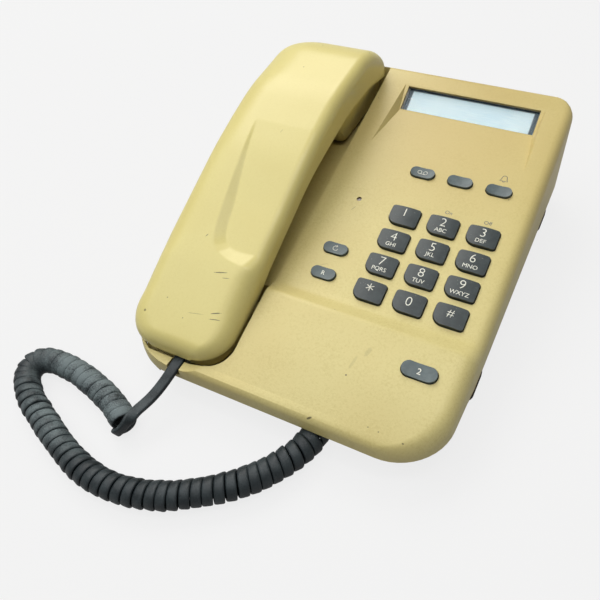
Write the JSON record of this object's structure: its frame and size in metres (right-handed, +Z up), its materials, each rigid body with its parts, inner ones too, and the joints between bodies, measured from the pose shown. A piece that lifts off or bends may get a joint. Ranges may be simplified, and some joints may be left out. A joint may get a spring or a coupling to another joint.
{
  "type": "corded desk telephone",
  "caption": "Corded desk telephone with a keypad panel, a display window and a handset that lies in a cradle on the left, joined by a curly cord.",
  "frame": {"origin": "on the table under the middle of the base's bounding box, at the bottom of the rubber feet", "axes": "+X to the base's right side (keypad side), +Y to its back (display end), +Z up"},
  "size_m": [0.2106, 0.2708, 0.0854],
  "materials": {
    "cream_plastic": "aged cream moulded plastic, satin sheen",
    "cream_base_plastic": "aged cream moulded plastic, duller, on the undersides",
    "black_rubber": "matt black rubber",
    "screw_steel": "zinc-plated steel",
    "clear_window": "clear moulded window, gloss",
    "display_glass": "grey-green liquid crystal glass",
    "white_plastic": "white moulded plastic",
    "green_board": "green laminate",
    "grey_silicone": "grey silicone rubber",
    "slate_key_plastic": "slate blue-grey moulded plastic",
    "grey_key_plastic": "mid blue-grey moulded plastic",
    "lamp_plastic": "translucent red-brown light guide",
    "ivory_plastic": "ivory moulded plastic",
    "spring_steel": "bright spring steel",
    "black_plastic": "black moulded plastic",
    "capsule_metal": "pressed aluminium case",
    "weight_steel": "plain steel bar",
    "clear_plug_plastic": "clear moulded plug",
    "cord_vinyl": "dark blue-grey vinyl"
  },
  "bodies": {
    "base": {"upper_housing": "cream_plastic", "lower_housing": "cream_base_plastic", "rubber_feet": "black_rubber", "base_screws": "screw_steel", "display_window": "clear_window", "lcd_panel": "display_glass", "lcd_holder": "white_plastic", "main_board": "green_board", "board_screws": "screw_steel", "keypad_membrane": "grey_silicone", "call_lamp": "lamp_plastic", "hook_spring": "spring_steel", "hook_switch": "black_plastic", "ringer": "black_plastic", "line_jack": "black_plastic", "base_cord_jack": "black_plastic", "handset_lead": "cord_vinyl", "coiled_cord": "cord_vinyl", "base_lead": "cord_vinyl", "base_plug": "clear_plug_plastic"},
    "handset": {"handset_upper_shell": "cream_plastic", "handset_lower_shell": "cream_base_plastic", "receiver_capsule": "capsule_metal", "receiver_gasket": "black_rubber", "microphone_capsule": "capsule_metal", "microphone_holder": "black_rubber", "handset_weight": "weight_steel", "handset_cord_jack": "black_plastic", "handset_screws": "screw_steel", "handset_plug": "clear_plug_plastic"},
    "key_1": {"key_1": "slate_key_plastic"},
    "key_2": {"key_2": "slate_key_plastic"},
    "key_3": {"key_3": "slate_key_plastic"},
    "key_4": {"key_4": "slate_key_plastic"},
    "key_5": {"key_5": "slate_key_plastic"},
    "key_6": {"key_6": "slate_key_plastic"},
    "key_7": {"key_7": "slate_key_plastic"},
    "key_8": {"key_8": "slate_key_plastic"},
    "key_9": {"key_9": "slate_key_plastic"},
    "key_star": {"key_star": "slate_key_plastic"},
    "key_0": {"key_0": "slate_key_plastic"},
    "key_hash": {"key_hash": "slate_key_plastic"},
    "function_key_left": {"function_key_left": "grey_key_plastic"},
    "function_key_middle": {"function_key_middle": "grey_key_plastic"},
    "function_key_right": {"function_key_right": "grey_key_plastic"},
    "redial_key": {"redial_key": "grey_key_plastic"},
    "recall_key": {"recall_key": "grey_key_plastic"},
    "second_call_key": {"second_call_key": "grey_key_plastic"},
    "hook_plunger": {"hook_plunger": "ivory_plastic"}
  },
  "joints": [
    {"name": "handset_lift", "type": "slide", "parent": "base", "child": "handset", "axis": [0, 0, 1], "range_m": [0, 0.08]},
    {"name": "hook_plunger_rise", "type": "slide", "parent": "base", "child": "hook_plunger", "axis": [0, 0, 1], "range_m": [0, 0.004], "deforming": ["hook_spring"]},
    {"name": "key_1_press", "type": "slide", "parent": "base", "child": "key_1", "axis": [0, 0.2079, -0.9781], "range_m": [0, 0.0015], "stiffness_N_per_m": 400},
    {"name": "key_2_press", "type": "slide", "parent": "base", "child": "key_2", "axis": [0, 0.2079, -0.9781], "range_m": [0, 0.0015], "stiffness_N_per_m": 400},
    {"name": "key_3_press", "type": "slide", "parent": "base", "child": "key_3", "axis": [0, 0.2079, -0.9781], "range_m": [0, 0.0015], "stiffness_N_per_m": 400},
    {"name": "key_4_press", "type": "slide", "parent": "base", "child": "key_4", "axis": [0, 0.2079, -0.9781], "range_m": [0, 0.0015], "stiffness_N_per_m": 400},
    {"name": "key_5_press", "type": "slide", "parent": "base", "child": "key_5", "axis": [0, 0.2079, -0.9781], "range_m": [0, 0.0015], "stiffness_N_per_m": 400},
    {"name": "key_6_press", "type": "slide", "parent": "base", "child": "key_6", "axis": [0, 0.2079, -0.9781], "range_m": [0, 0.0015], "stiffness_N_per_m": 400},
    {"name": "key_7_press", "type": "slide", "parent": "base", "child": "key_7", "axis": [0, 0.2079, -0.9781], "range_m": [0, 0.0015], "stiffness_N_per_m": 400},
    {"name": "key_8_press", "type": "slide", "parent": "base", "child": "key_8", "axis": [0, 0.2079, -0.9781], "range_m": [0, 0.0015], "stiffness_N_per_m": 400},
    {"name": "key_9_press", "type": "slide", "parent": "base", "child": "key_9", "axis": [0, 0.2079, -0.9781], "range_m": [0, 0.0015], "stiffness_N_per_m": 400},
    {"name": "key_star_press", "type": "slide", "parent": "base", "child": "key_star", "axis": [0, 0.2079, -0.9781], "range_m": [0, 0.0015], "stiffness_N_per_m": 400},
    {"name": "key_0_press", "type": "slide", "parent": "base", "child": "key_0", "axis": [0, 0.2079, -0.9781], "range_m": [0, 0.0015], "stiffness_N_per_m": 400},
    {"name": "key_hash_press", "type": "slide", "parent": "base", "child": "key_hash", "axis": [0, 0.2079, -0.9781], "range_m": [0, 0.0015], "stiffness_N_per_m": 400},
    {"name": "function_key_left_press", "type": "slide", "parent": "base", "child": "function_key_left", "axis": [0, 0.2079, -0.9781], "range_m": [0, 0.0015], "stiffness_N_per_m": 400},
    {"name": "function_key_middle_press", "type": "slide", "parent": "base", "child": "function_key_middle", "axis": [0, 0.2079, -0.9781], "range_m": [0, 0.0015], "stiffness_N_per_m": 400},
    {"name": "function_key_right_press", "type": "slide", "parent": "base", "child": "function_key_right", "axis": [0, 0.2079, -0.9781], "range_m": [0, 0.0015], "stiffness_N_per_m": 400},
    {"name": "redial_key_press", "type": "slide", "parent": "base", "child": "redial_key", "axis": [0, 0.2079, -0.9781], "range_m": [0, 0.0015], "stiffness_N_per_m": 400},
    {"name": "recall_key_press", "type": "slide", "parent": "base", "child": "recall_key", "axis": [0, 0.2079, -0.9781], "range_m": [0, 0.0015], "stiffness_N_per_m": 400},
    {"name": "second_call_key_press", "type": "slide", "parent": "base", "child": "second_call_key", "axis": [0, 0.2417, -0.9704], "range_m": [0, 0.0015], "stiffness_N_per_m": 400}
  ],
  "couplings": [
    {"joint": "hook_plunger_rise", "follows": "handset_lift", "ratio": 0.05}
  ]
}
